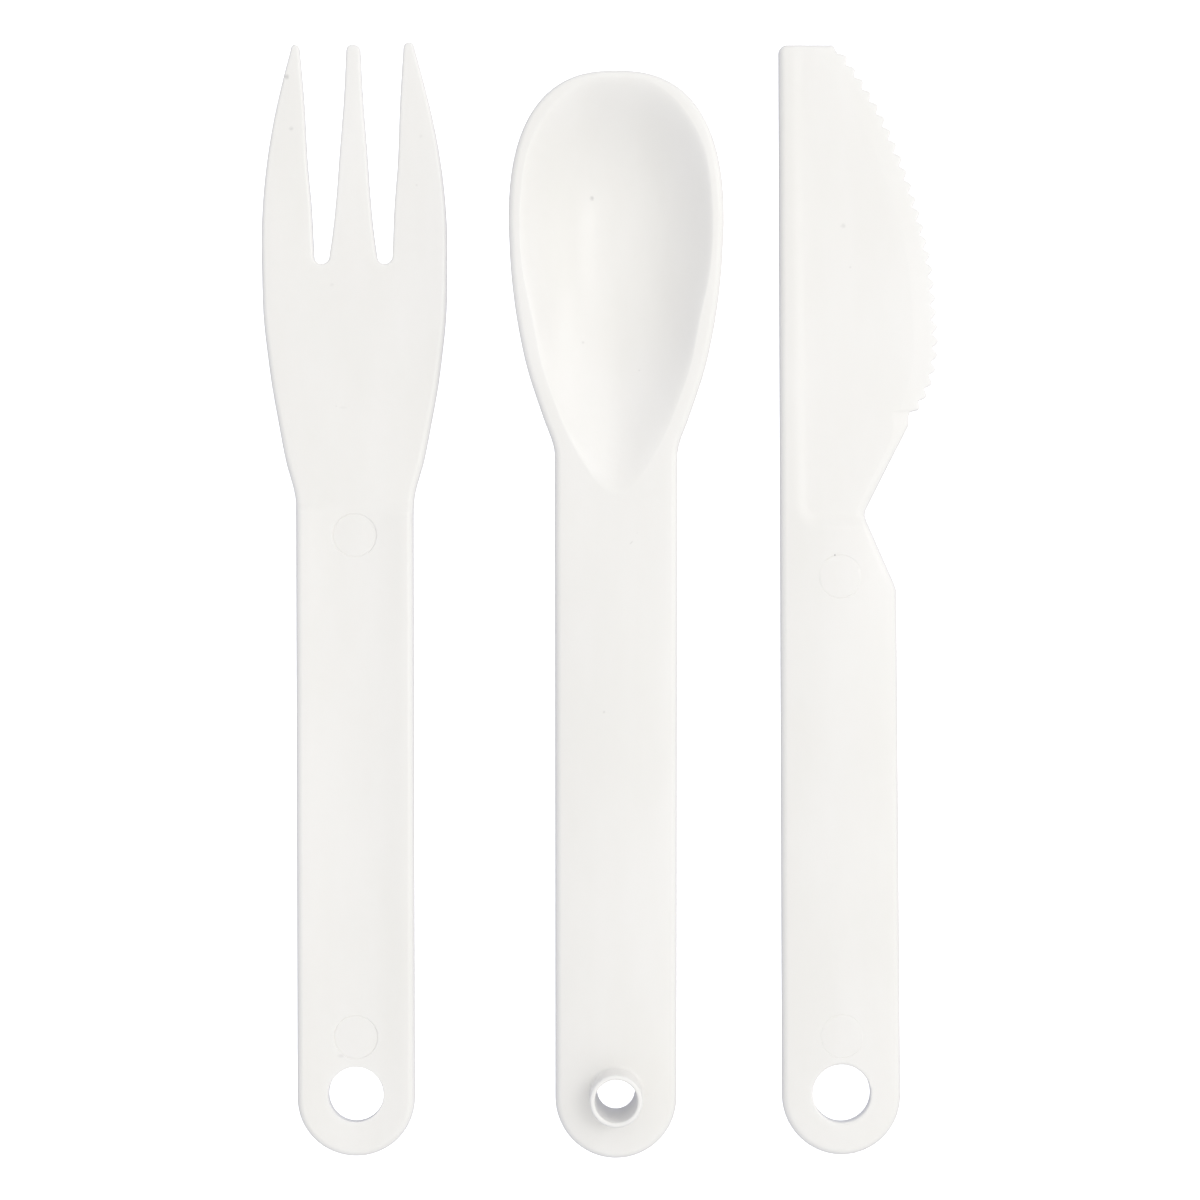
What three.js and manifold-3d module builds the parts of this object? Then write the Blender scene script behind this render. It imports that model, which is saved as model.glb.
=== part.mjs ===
// A plastic cutlery set laid out side by side: a fork, a spoon and a serrated knife.
// Each utensil is one moulding. The spoon carries a hollow peg that the holes of the others fit over.
// Millimetres, +Z up, +X to the right, +Y towards the heads. Each utensil is drawn in its own frame,
// with y = 0 at the end of its handle, x = 0 on its handle's axis and z = 0 on its handle's underside.
import * as THREE from "three";
import { TessellateModifier } from "three/addons/modifiers/TessellateModifier.js";
import { mergeVertices } from "three/addons/utils/BufferGeometryUtils.js";
import Module from "manifold-3d";

// The peg of the spoon and the holes that go over it
const pegDiameter = 7.5;
const pegBoreTop = 6.1;
const pegBoreBottom = 5.4;
const pegFillet = 0.5;
const pegLip = 0.3;
const pegProud = 0.1;
const pegSetback = 9.5;
const forkHoleSetback = 9;
const forkHoleClearance = 0.4;
const knifeHoleSetback = 8.9;
const knifeHoleClearance = 0.8;
const holeLip = 0.35;

// The fork
const forkLength = 160;
const forkHandleWidth = 17;
const forkHandleThickness = 2.3;
const forkHeadLength = 65.5;
const forkTroughDepth = 0.35;
const forkStepLength = 1.8;
const forkHeadWidth = 26.8;
const forkHeadThickness = 1.9;
const forkTineThickness = 1.1;
const forkTineLength = 31;
const forkTineRounding = 0.45;
const forkMiddleTineWidth = 1.9;
const forkSlotSpacing = 9.3;
const forkSlotWidth = 2.2;
const forkBellyDrop = 0.9;
const forkBellyFromTip = 48.5;
const forkTipRise = 2.6;

// The spoon
const spoonLength = 155.5;
const spoonHandleWidth = 17.5;
const spoonHandleThickness = 2.8;
const spoonCrown = 0.3;
const spoonBowlLength = 53.1;
const spoonBowlWidth = 30.7;
const spoonBowlDepth = 7.1;
const spoonDeepestFromTip = 21.6;
const spoonRimWidth = 2;
const spoonRimRounding = 0.7;
const spoonFloorThickness = 1.5;
const spoonHollowLength = 59.9;

// The knife
const knifeLength = 160.1;
const knifeHandleWidth = 17.2;
const knifeHandleTaper = 0.35;
const knifeHandleThickness = 2.3;
const knifeCrown = 0.3;
const knifeShoulderFromTip = 78.7;
const knifeBladeLength = 67.7;
const knifeNotchWidth = 12.3;
const knifeBladeWidth = 22.7;
const knifeWidestFromTip = 44.4;
const knifeBladeThickness = 1.5;
const knifeTipWidth = 7.9;
const knifeEdgeThickness = 0.5;
const knifeGrindWidth = 3.5;
const knifeCornerRadius = 2.5;
const knifeTipRadius = 1.2;
const knifeSpineWidth = 2.3;
const knifeStepLength = 1.4;
const toothPitch = 2.06;
const toothDepth = 0.8;

// All three
const edgeRadius = 1;
const ejectorDiameter = 6.3;
const ejectorDepth = 0.05;
const ejectorSetback = 17.3;
const overcut = 1;

// How the utensils lie beside each other
const forkToSpoon = 37.5;
const forkTurn = 0.1;
const spoonToKnife = 32.75;
const knifeShift = 0.25;
const knifeTurn = 0.2;

const wasm = await Module();
wasm.setup();

// A closed geometry as a solid that can be joined and cut.
function solidOf(geometry) {
  const bare = new THREE.BufferGeometry();
  const source = geometry.index ? geometry.toNonIndexed() : geometry;
  bare.setAttribute("position", source.getAttribute("position"));
  const merged = mergeVertices(bare, 1e-4);
  return new wasm.Manifold(
    new wasm.Mesh({
      numProp: 3,
      vertProperties: merged.attributes.position.array,
      triVerts: new Uint32Array(merged.index.array),
    }),
  );
}

// The surface of a solid, ready for a mesh.
function geometryOf(solid) {
  const { vertProperties, triVerts } = solid.getMesh();
  const geometry = new THREE.BufferGeometry();
  geometry.setAttribute("position", new THREE.BufferAttribute(vertProperties, 3));
  geometry.setIndex(new THREE.BufferAttribute(triVerts, 1));
  geometry.computeVertexNormals();
  return geometry;
}

// Moves every vertex of a geometry by place(vertex, index), which sets the vertex.
function reshape(geometry, place) {
  const position = geometry.attributes.position;
  const vertex = new THREE.Vector3();
  for (let i = 0; i < position.count; i++) {
    vertex.fromBufferAttribute(position, i);
    place(vertex, i);
    position.setXYZ(i, vertex.x, vertex.y, vertex.z);
  }
  return geometry;
}

// A smooth function through [at, value] pairs.
function smoothThrough(pairs) {
  const at = pairs.map(([a]) => a);
  const values = pairs.map(([, value]) => value);
  const curve = new THREE.CubicInterpolant(at, values, 1);
  return (a) => curve.evaluate(a)[0];
}

// A function of straight stretches through [at, value] pairs.
function straightThrough(pairs) {
  const at = pairs.map(([a]) => a);
  const values = pairs.map(([, value]) => value);
  const curve = new THREE.LinearInterpolant(at, values, 1);
  return (a) => curve.evaluate(a)[0];
}

// Even steps between each pair of neighbouring marks, none longer than longest.
function stations(marks, longest) {
  const list = [marks[0]];
  for (let i = 1; i < marks.length; i++) {
    const span = marks[i] - marks[i - 1];
    const steps = Math.ceil(span / longest - 1e-6);
    for (let s = 1; s <= steps; s++) list.push(marks[i - 1] + (span * s) / steps);
  }
  return list;
}

// The rows of a round handle end of the given radius, closer together towards its tip.
function endRows(radius) {
  return [0.012, 0.05, 0.11, 0.2, 0.32, 0.48, 0.7, 1].map((share) => share * radius);
}

// The distance from (x, y) to a closed line of [x, y] corners.
function distanceToLine(line, x, y) {
  let least = Infinity;
  for (let i = 0; i < line.length; i++) {
    const [ax, ay] = line[i];
    const [bx, by] = line[(i + 1) % line.length];
    const length2 = (bx - ax) ** 2 + (by - ay) ** 2;
    const along = length2 ? ((x - ax) * (bx - ax) + (y - ay) * (by - ay)) / length2 : 0;
    const t = THREE.MathUtils.clamp(along, 0, 1);
    least = Math.min(least, Math.hypot(x - ax - t * (bx - ax), y - ay - t * (by - ay)));
  }
  return least;
}

// A closed geometry mirrored from right to left, its faces turned round so that they still face out.
function mirrored(geometry) {
  const copy = geometry.clone().scale(-1, 1, 1);
  const position = copy.attributes.position;
  const second = new THREE.Vector3();
  const third = new THREE.Vector3();
  for (let i = 0; i < position.count; i += 3) {
    second.fromBufferAttribute(position, i + 1);
    third.fromBufferAttribute(position, i + 2);
    position.setXYZ(i + 1, third.x, third.y, third.z);
    position.setXYZ(i + 2, second.x, second.y, second.z);
  }
  return copy;
}

// A turned shape about the Z axis at x = 0 and the given y, from [radius, z] pairs that run upwards.
function turned(points, segments, y) {
  const profile = points.map(([radius, z]) => new THREE.Vector2(radius, z));
  return new THREE.LatheGeometry(profile, segments).rotateX(Math.PI / 2).translate(0, y, 0);
}

// A moulded plate: rows of quads from left(y) to right(y), between bottom(x, y) and top(x, y),
// with its edge rounded all the way round.
function plate({ rows, columns, left, right, top, bottom }) {
  const edgeColumns = [0, 0.13, 0.5, 1];
  const last = edgeColumns.length - 1;
  const outline = [
    ...rows.map((y) => [right(y), y]),
    ...rows.map((y) => [left(y), y]).reverse(),
  ];
  const across = (i, y) => {
    const width = right(y) - left(y);
    const edge = Math.min(edgeRadius, 0.3 * width);
    if (i <= last) return left(y) + edge * edgeColumns[i];
    if (i >= columns - last) return right(y) - edge * edgeColumns[columns - i];
    return left(y) + edge + ((width - 2 * edge) * (i - last)) / (columns - 2 * last);
  };
  const box = new THREE.BoxGeometry(1, 1, 1, columns, rows.length - 1, 1);
  return reshape(box, (vertex) => {
    const y = rows[Math.round((vertex.y + 0.5) * (rows.length - 1))];
    const x = across(Math.round((vertex.x + 0.5) * columns), y);
    const inset = 1 - Math.min(distanceToLine(outline, x, y) / edgeRadius, 1);
    const lip = Math.min(edgeRadius, 0.45 * (top(x, y) - bottom(x, y)));
    const fall = lip * (1 - Math.sqrt(1 - inset * inset));
    const z = vertex.z > 0 ? top(x, y) - fall : bottom(x, y) + fall;
    vertex.set(x, y, z);
  });
}

// The half width of a handle whose end is a half circle.
function roundEnded(half, y) {
  return y < half ? Math.sqrt(half * half - (half - y) ** 2) : half;
}

// What a round hole with rounded lips, y from the handle's end, takes out of the handle's thickness.
function holeCutter(diameter, thickness, y) {
  const radius = diameter / 2;
  const lip = (angle) => radius + holeLip * (1 - Math.cos(angle));
  const rise = (angle) => holeLip * (1 - Math.sin(angle));
  const angles = [Math.PI / 2, Math.PI / 4, 0];
  const points = [
    [0, -overcut],
    [lip(Math.PI / 2), -overcut],
    ...angles.map((angle) => [lip(angle), rise(angle)]),
    ...angles.reverse().map((angle) => [lip(angle), thickness - rise(angle)]),
    [lip(Math.PI / 2), thickness + overcut],
    [0, thickness + overcut],
  ];
  return solidOf(turned(points, 48, y));
}

// The shallow round mark that an ejector pin leaves at y in a face at height z.
function ejectorMark(y, z) {
  const radius = ejectorDiameter / 2;
  const floor = z - ejectorDepth;
  const points = [[0, floor], [radius, floor], [radius, z + overcut], [0, z + overcut]];
  return solidOf(turned(points, 40, y));
}

function makeFork() {
  const half = forkHandleWidth / 2;
  const headHalf = forkHeadWidth / 2;
  const headStart = forkLength - forkHeadLength;
  const slotBottom = forkLength - forkTineLength;
  const headEdge = smoothThrough([
    [headStart - 2, half],
    [headStart, half + 0.1],
    [headStart + 5.9, half + 1.55],
    [headStart + 11.5, half + 2.65],
    [headStart + 16.8, headHalf - 1.32],
    [headStart + 26.6, headHalf - 0.2],
    [slotBottom, headHalf],
    [slotBottom + 5.4, headHalf - 0.05],
    [slotBottom + 14.4, headHalf - 0.88],
    [slotBottom + 20.6, headHalf - 2],
    [slotBottom + 25.7, headHalf - 3.2],
    [forkLength - 0.8, headHalf - 4.5],
    [forkLength + overcut, headHalf - 5],
  ]);
  const edge = (y) => (y < headStart - 2 ? roundEnded(half, y) : headEdge(y));
  const bottom = smoothThrough([
    [-1, 0],
    [headStart - 20, 0],
    [headStart, -0.1],
    [forkLength - forkBellyFromTip, -forkBellyDrop],
    [slotBottom, -0.35],
    [slotBottom + forkTineLength / 2, 0.75],
    [forkLength + overcut, forkTipRise],
  ]);
  const headThickness = smoothThrough([
    [headStart, forkHeadThickness],
    [slotBottom - 6, forkHeadThickness],
    [slotBottom + 12, forkHeadThickness - 0.4],
    [forkLength + overcut, forkTineThickness],
  ]);
  const trough = (x) => forkTroughDepth * Math.max(0, 1 - (x / (half - edgeRadius)) ** 2);
  const top = (x, y) => {
    const step = THREE.MathUtils.smoothstep(y, headStart - forkStepLength, headStart);
    const handleTop = forkHandleThickness - trough(x);
    const headTop = bottom(y) + headThickness(Math.max(y, headStart));
    return THREE.MathUtils.lerp(handleTop, headTop, step);
  };
  const blank = plate({
    rows: stations(
      [
        ...endRows(half),
        headStart - forkStepLength,
        headStart - forkStepLength / 2,
        headStart,
        forkLength + overcut / 2,
      ],
      4,
    ),
    columns: 12,
    left: (y) => -edge(y),
    right: edge,
    top,
    bottom: (x, y) => bottom(y),
  });

  // The slot right of the middle tine, with the round tips of the tines on both sides of it
  const slotAt = forkSlotSpacing / 2;
  const slotHalf = forkSlotWidth / 2;
  const tipHalf = forkMiddleTineWidth / 2;
  const outerTip = headHalf - 5.2;
  const slot = new THREE.Shape();
  slot.moveTo(0, forkLength);
  slot.quadraticCurveTo(tipHalf * 0.8, forkLength, tipHalf, forkLength - 1);
  slot.splineThru([
    new THREE.Vector2(tipHalf + 0.4, slotBottom + 23.3),
    new THREE.Vector2(tipHalf + 1.05, slotBottom + 16.1),
    new THREE.Vector2(slotAt - slotHalf - 1, slotBottom + 9.2),
    new THREE.Vector2(slotAt - slotHalf - 0.5, slotBottom + 4.3),
    new THREE.Vector2(slotAt - slotHalf, slotBottom + slotHalf),
  ]);
  slot.absarc(slotAt, slotBottom + slotHalf, slotHalf, Math.PI, 2 * Math.PI, false);
  slot.splineThru([
    new THREE.Vector2(slotAt + slotHalf + 0.4, slotBottom + 8.7),
    new THREE.Vector2(slotAt + slotHalf + 0.8, slotBottom + 13.6),
    new THREE.Vector2(outerTip - 1.2, slotBottom + 23.3),
    new THREE.Vector2(outerTip - 0.7, forkLength - 0.8),
  ]);
  slot.quadraticCurveTo(outerTip - 0.6, forkLength, outerTip, forkLength);
  slot.quadraticCurveTo(outerTip + 0.7, forkLength, outerTip + 0.9, forkLength - 1.4);
  slot.lineTo(outerTip + 3, forkLength - 1.4);
  slot.lineTo(outerTip + 3, forkLength + 2 * overcut);
  slot.lineTo(0, forkLength + 2 * overcut);
  const straight = new THREE.ExtrudeGeometry(slot, {
    depth: 1,
    curveSegments: 4,
    bevelSegments: 2,
    bevelThickness: forkTineRounding,
    bevelSize: -forkTineRounding,
    bevelOffset: forkTineRounding,
  });
  // The cutter follows the rise of the tines, and its flared rims round their edges.
  const rim = 0.8 * forkTineRounding;
  const cutter = reshape(new TessellateModifier(3.2, 8).modify(straight), (vertex) => {
    const low = bottom(vertex.y) + rim;
    const high = top(vertex.x, vertex.y) - rim;
    if (vertex.z < 0) vertex.z += low;
    else if (vertex.z > 1) vertex.z += high - 1;
    else vertex.z = THREE.MathUtils.lerp(low, high, vertex.z);
  });

  const holeTop = forkHandleThickness - forkTroughDepth / 2;
  const troughFloor = forkHandleThickness - forkTroughDepth;
  return solidOf(blank)
    .subtract(solidOf(cutter))
    .subtract(solidOf(mirrored(cutter)))
    .subtract(holeCutter(pegDiameter + forkHoleClearance, holeTop, forkHoleSetback))
    .subtract(ejectorMark(ejectorSetback, troughFloor))
    .subtract(ejectorMark(headStart - 4.8, troughFloor));
}

// A closed curve through the points of its right half, which run from the handle to the front.
function mirroredLoop(rightHalf) {
  const inner = rightHalf.slice(1, -1).reverse();
  const points = [...rightHalf, ...inner.map(([x, y]) => [-x, y])];
  return new THREE.CatmullRomCurve3(
    points.map(([x, y]) => new THREE.Vector3(x, y, 0)),
    true,
  );
}

// A bowl about the point (0, deepestAt): its profile is [share, z] pairs that run upwards, and a
// share of 1 lies on the loop.
function bowl(loop, deepestAt, profile, segments) {
  const rim = loop.getSpacedPoints(segments);
  const points = profile.map(([share, z]) => new THREE.Vector2(share, z));
  const round = new THREE.LatheGeometry(points, segments).rotateX(Math.PI / 2);
  return reshape(round, (vertex, index) => {
    const [share, z] = profile[index % profile.length];
    const edge = rim[Math.floor(index / profile.length)];
    vertex.set(share * edge.x, deepestAt + share * (edge.y - deepestAt), z);
  });
}

function makeSpoon() {
  const half = spoonHandleWidth / 2;
  const bowlHalf = spoonBowlWidth / 2;
  const hollowHalf = bowlHalf - spoonRimWidth;
  const deepestAt = spoonLength - spoonDeepestFromTip;
  const neckAt = spoonLength - spoonBowlLength;
  const hollowStart = spoonLength - spoonHollowLength;
  const rimHeight = spoonHandleThickness;
  const outerDepth = spoonBowlDepth + spoonFloorThickness;
  const shares = [0.22, 0.42, 0.58, 0.7, 0.8, 0.88, 0.94, 0.98];
  const sag = (share) => (1 - share ** 2.3) ** 0.6;

  const outer = mirroredLoop([
    [0, hollowStart - 4],
    [half - 5, neckAt - 8.3],
    [half - 2.2, neckAt - 4],
    [half - 0.1, neckAt],
    [half + 2.15, neckAt + 5.8],
    [bowlHalf - 2.85, neckAt + 10.8],
    [bowlHalf - 1.2, deepestAt - 13.4],
    [bowlHalf - 0.3, deepestAt - 6.6],
    [bowlHalf, deepestAt],
    [bowlHalf - 0.4, deepestAt + 7],
    [bowlHalf - 1.15, deepestAt + 11],
    [bowlHalf - 2.3, deepestAt + 13.7],
    [bowlHalf - 4.7, deepestAt + 17.7],
    [bowlHalf - 7.9, spoonLength - 1.65],
    [bowlHalf - 11.7, spoonLength - 0.25],
    [0, spoonLength],
  ]);
  const bellyProfile = [
    [0, rimHeight - outerDepth],
    ...shares.map((share) => [
      share,
      rimHeight - spoonRimRounding - (outerDepth - spoonRimRounding) * sag(share),
    ]),
    [1, rimHeight - spoonRimRounding],
    [1 - 0.3 * (spoonRimRounding / bowlHalf), rimHeight - 0.3 * spoonRimRounding],
    [1 - spoonRimRounding / bowlHalf, rimHeight],
    [0, rimHeight],
  ];
  const belly = bowl(outer, deepestAt, bellyProfile, 72);

  const inner = mirroredLoop([
    [0, hollowStart],
    [hollowHalf - 10.95, hollowStart + 1.9],
    [hollowHalf - 9.1, hollowStart + 4.5],
    [hollowHalf - 6.7, hollowStart + 8.7],
    [hollowHalf - 4.85, hollowStart + 13.4],
    [hollowHalf - 3.2, hollowStart + 18.2],
    [hollowHalf - 1.85, deepestAt - 13.4],
    [hollowHalf - 0.5, deepestAt - 7.2],
    [hollowHalf, deepestAt],
    [hollowHalf - 0.3, deepestAt + 5.1],
    [hollowHalf - 1.1, deepestAt + 10.1],
    [hollowHalf - 3.1, deepestAt + 14.5],
    [hollowHalf - 6, deepestAt + 18.1],
    [hollowHalf - 8.5, spoonLength - 1.7],
    [0, spoonLength - 1.2],
  ]);
  const lipHeight = 0.3;
  const hollowProfile = [
    [0, rimHeight - spoonBowlDepth],
    ...shares.map((share) => [
      share,
      rimHeight - lipHeight - (spoonBowlDepth - lipHeight) * sag(share),
    ]),
    [1, rimHeight - lipHeight],
    [1.01, rimHeight - 0.3 * lipHeight],
    [1.025, rimHeight + 0.1 * lipHeight],
    [1.025, rimHeight + overcut],
    [0, rimHeight + overcut],
  ];
  const hollow = bowl(inner, deepestAt, hollowProfile, 72);

  const crownEnd = hollowStart - 4;
  const crownFade = crownEnd - 20;
  const top = (x, y) => {
    const fade = 1 - THREE.MathUtils.smoothstep(y, crownFade, crownEnd);
    return spoonHandleThickness - fade * spoonCrown * (x / half) ** 2;
  };
  const handle = plate({
    rows: stations([...endRows(half), crownFade, crownEnd, neckAt + 4], 4),
    columns: 12,
    left: (y) => -roundEnded(half, y),
    right: (y) => roundEnded(half, y),
    top,
    bottom: () => 0,
  });

  const pegTop = spoonHandleThickness + forkHandleThickness + knifeHandleThickness + pegProud;
  const pegRadius = pegDiameter / 2;
  const quarter = [0, 0.25, 0.5, 0.75, 1].map((share) => (share * Math.PI) / 2);
  const peg = turned(
    [
      [0, spoonHandleThickness / 2],
      [pegRadius + pegFillet, spoonHandleThickness / 2],
      ...quarter.map((angle) => [
        pegRadius + pegFillet * (1 - Math.sin(angle)),
        spoonHandleThickness - 0.05 + pegFillet * (1 - Math.cos(angle)),
      ]),
      ...quarter.map((angle) => [
        pegRadius - pegLip * (1 - Math.cos(angle)),
        pegTop - pegLip * (1 - Math.sin(angle)),
      ]),
      [0, pegTop],
    ],
    48,
    pegSetback,
  );
  const bore = turned(
    [
      [0, -overcut],
      [pegBoreBottom / 2, -overcut],
      [pegBoreBottom / 2, 0],
      [pegBoreTop / 2, pegTop - pegLip],
      [pegBoreTop / 2 + 0.3 * pegLip, pegTop - 0.3 * pegLip],
      [pegBoreTop / 2 + pegLip, pegTop + overcut],
      [0, pegTop + overcut],
    ],
    48,
    pegSetback,
  );
  return solidOf(belly)
    .add(solidOf(handle))
    .subtract(solidOf(hollow))
    .add(solidOf(peg))
    .subtract(solidOf(bore))
    .subtract(ejectorMark(ejectorSetback, spoonHandleThickness));
}

function makeKnife() {
  const half = knifeHandleWidth / 2;
  const spine = -half;
  const notchEdge = spine + knifeNotchWidth;
  const shoulderAt = knifeLength - knifeShoulderFromTip;
  const notchAt = knifeLength - knifeBladeLength;
  const bladeEdge = spine + knifeBladeWidth;
  const tipCorner = spine + knifeTipWidth;
  const handleEdge = half - knifeHandleTaper;
  const widestAt = knifeLength - knifeWidestFromTip;

  // The line that the crests of the teeth lie on, from the tip towards the handle
  const crests = new THREE.SplineCurve(
    [
      [tipCorner + 1.2, knifeLength - 0.75],
      [tipCorner + 6.3, knifeLength - 8.7],
      [tipCorner + 9.65, knifeLength - 16.1],
      [bladeEdge - 2.55, knifeLength - 24.2],
      [bladeEdge - 0.75, knifeLength - 32.2],
      [bladeEdge - 0.2, widestAt + 6],
      [bladeEdge, widestAt],
      [bladeEdge - 0.85, widestAt - 4.5],
      [bladeEdge - 2.7, widestAt - 8.3],
      [bladeEdge - 3.3, widestAt - 9.1],
    ].map(([x, y]) => new THREE.Vector2(x, y)),
  );
  const crestSteps = crests.getSpacedPoints(40).reverse();
  const heel = crestSteps[0].y;
  // Beside the teeth the blank stands out past the crests, and the teeth are cut from it.
  const spare = 1.2 * edgeRadius;
  const outlineRight = straightThrough([
    [shoulderAt, handleEdge],
    [shoulderAt + 1.1, handleEdge - 0.35],
    [notchAt - 0.9, notchEdge + 0.25],
    [notchAt, notchEdge],
    [notchAt + 0.8, notchEdge + 0.2],
    [heel, crestSteps[0].x - 0.4],
    ...crestSteps.slice(1).map(({ x, y }) => [y, x + spare]),
    [knifeLength + overcut, tipCorner + spare],
  ]);
  const taper = (y) => (knifeHandleTaper * y) / shoulderAt;
  const right = (y) => (y < shoulderAt ? roundEnded(half, y) - taper(y) : outlineRight(y));
  const top = (x) => knifeHandleThickness - knifeCrown * Math.min((x / half) ** 2, 1);
  const blank = plate({
    rows: stations(
      [
        ...endRows(half),
        shoulderAt,
        shoulderAt + 1.1,
        notchAt - 0.9,
        notchAt,
        notchAt + 0.8,
        heel,
        crestSteps[1].y,
        widestAt,
        knifeLength + overcut,
      ],
      4,
    ),
    columns: 12,
    left: (y) => -roundEnded(half, y),
    right,
    top,
    bottom: () => 0,
  });

  // The blade's face is sunk between the spine and the step, and ground thinner towards the teeth.
  const stepAt = notchAt - 1.6;
  const spineWidth = straightThrough([
    [stepAt, knifeSpineWidth],
    [knifeLength + overcut, knifeSpineWidth / 2],
  ]);
  const grindWidth = straightThrough([
    [notchAt, 0.8],
    [heel - 3, 0.8],
    [heel + 4, knifeGrindWidth],
    [knifeLength - 20, knifeGrindWidth],
    [knifeLength + overcut, knifeGrindWidth + 1],
  ]);
  const faceRows = stations(
    [
      stepAt,
      stepAt + knifeStepLength,
      notchAt + 0.8,
      heel,
      crestSteps[1].y,
      widestAt,
      knifeLength + overcut,
    ],
    3.5,
  );
  const face = reshape(new THREE.BoxGeometry(1, 1, 1, 4, faceRows.length - 1, 1), (vertex) => {
    const row = Math.round((vertex.y + 0.5) * (faceRows.length - 1));
    const column = Math.round((vertex.x + 0.5) * 4);
    const y = faceRows[row];
    const corner = knifeCornerRadius - roundEnded(knifeCornerRadius, Math.max(y - stepAt, 0.3));
    const edge = y > heel ? right(y) - spare : right(y);
    const inner = spine + spineWidth(y) + corner;
    const x = [inner, inner + 0.7, edge - grindWidth(y), edge, edge + 3][column];
    const above = knifeHandleThickness + 0.1;
    const floor = knifeBladeThickness;
    const depth = [above, floor, floor, knifeEdgeThickness, knifeEdgeThickness][column];
    const low = row === 0 ? above : depth;
    vertex.set(x, y, vertex.z > 0 ? above + overcut : low);
  });

  // What trims the blade: round the tip, then along a row of round crests with sharp valleys between
  const clear = 8;
  const toothCount = Math.round(crests.getLength() / toothPitch);
  const roundness = 0.12;
  const sharp = (share) => Math.hypot(share, roundness) - roundness;
  const trim = new THREE.Shape();
  trim.moveTo(spine - clear, knifeLength - knifeTipRadius);
  trim.lineTo(spine, knifeLength - knifeTipRadius);
  const tipCentre = [spine + knifeTipRadius, knifeLength - knifeTipRadius];
  trim.absarc(...tipCentre, knifeTipRadius, Math.PI, Math.PI / 2, true);
  trim.lineTo(tipCorner, knifeLength);
  trim.lineTo(tipCorner + 0.5, knifeLength - 0.8);
  for (let tooth = 0; tooth < toothCount; tooth++) {
    for (const share of [-0.5, -0.28, -0.1, 0.1, 0.28]) {
      const u = (tooth + 0.5 + share) / toothCount;
      const point = crests.getPointAt(u);
      const along = crests.getTangentAt(u);
      const depth = (toothDepth * sharp(share)) / sharp(0.5);
      trim.lineTo(point.x + along.y * depth, point.y - along.x * depth);
    }
  }
  trim.lineTo(crestSteps[0].x - 0.4, heel);
  trim.lineTo(bladeEdge + clear, heel);
  trim.lineTo(bladeEdge + clear, knifeLength + clear);
  trim.lineTo(spine - clear, knifeLength + clear);
  const trimmer = new THREE.ExtrudeGeometry(trim, {
    depth: knifeHandleThickness + 2 * overcut,
    curveSegments: 6,
    bevelEnabled: false,
  }).translate(0, 0, -overcut);

  const holeDiameter = pegDiameter + knifeHoleClearance;
  return solidOf(blank)
    .subtract(solidOf(face))
    .subtract(solidOf(trimmer))
    .subtract(holeCutter(holeDiameter, top(holeDiameter / 2), knifeHoleSetback))
    .subtract(ejectorMark(ejectorSetback, knifeHandleThickness))
    .subtract(ejectorMark(shoulderAt + 2, knifeHandleThickness));
}

// Lays a utensil on the floor with its handle's end and its lowest point both on it.
function lay(name, solid, lowestAt, colour) {
  const plastic = new THREE.MeshStandardMaterial({ color: colour, roughness: 0.38, metalness: 0 });
  const mesh = new THREE.Mesh(geometryOf(solid), plastic);
  mesh.name = name;
  mesh.geometry.computeBoundingBox();
  const drop = -mesh.geometry.boundingBox.min.z;
  mesh.rotation.x = Math.atan2(drop, lowestAt - edgeRadius);
  return mesh;
}

const fork = lay("fork", makeFork(), forkLength - forkBellyFromTip, 0xf0efeb);
const spoon = lay("spoon", makeSpoon(), spoonLength - spoonDeepestFromTip, 0xf0efeb);
const knife = lay("knife", makeKnife(), knifeLength, 0xf0efeb);
fork.position.x = -forkToSpoon;
fork.rotation.z = THREE.MathUtils.degToRad(forkTurn);
knife.position.set(spoonToKnife, knifeShift, 0);
knife.rotation.z = THREE.MathUtils.degToRad(knifeTurn);

const set = new THREE.Group();
set.add(fork, spoon, knife);
set.updateMatrixWorld(true);
for (const utensil of set.children) {
  const box = new THREE.Box3().setFromObject(utensil, true);
  utensil.position.z -= box.min.z;
}

const pack = new THREE.Group();
pack.add(set);
const box = new THREE.Box3().setFromObject(pack, true);
set.position.x = -(box.min.x + box.max.x) / 2;
set.position.y = -(box.min.y + box.max.y) / 2;

export default pack;
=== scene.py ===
import math

import bmesh
import bpy
import numpy as np
from mathutils import Matrix, Vector


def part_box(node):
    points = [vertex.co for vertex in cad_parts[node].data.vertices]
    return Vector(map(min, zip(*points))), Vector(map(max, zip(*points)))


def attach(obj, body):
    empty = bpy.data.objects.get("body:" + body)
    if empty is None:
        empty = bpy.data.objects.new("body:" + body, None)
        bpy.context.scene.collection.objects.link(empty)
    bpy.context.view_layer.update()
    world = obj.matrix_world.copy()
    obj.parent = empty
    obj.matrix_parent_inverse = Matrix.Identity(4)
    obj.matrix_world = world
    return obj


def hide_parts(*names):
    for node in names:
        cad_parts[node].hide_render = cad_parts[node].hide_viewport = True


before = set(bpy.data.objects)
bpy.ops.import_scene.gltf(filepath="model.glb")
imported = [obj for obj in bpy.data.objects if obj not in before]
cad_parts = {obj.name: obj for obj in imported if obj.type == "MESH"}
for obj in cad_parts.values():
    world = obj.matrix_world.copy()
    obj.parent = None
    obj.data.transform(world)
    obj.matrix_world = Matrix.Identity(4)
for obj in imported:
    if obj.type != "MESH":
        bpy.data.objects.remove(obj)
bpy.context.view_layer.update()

# The fork: one moulding of stiff white plastic. Its handle is a shallow trough between two low rims
# and steps down to a dished head with three tines. It hangs on the round hole near the handle's end.
# Each utensil is drawn flat in millimetres, handle's end at y = 0, and laid where its node lies.
fork_handle_half = 8.5
fork_handle_thickness = 2.3
fork_trough_depth = 0.45
fork_trough_rim = 1
fork_head_start = 94.5
fork_step_length = 1.8
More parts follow.
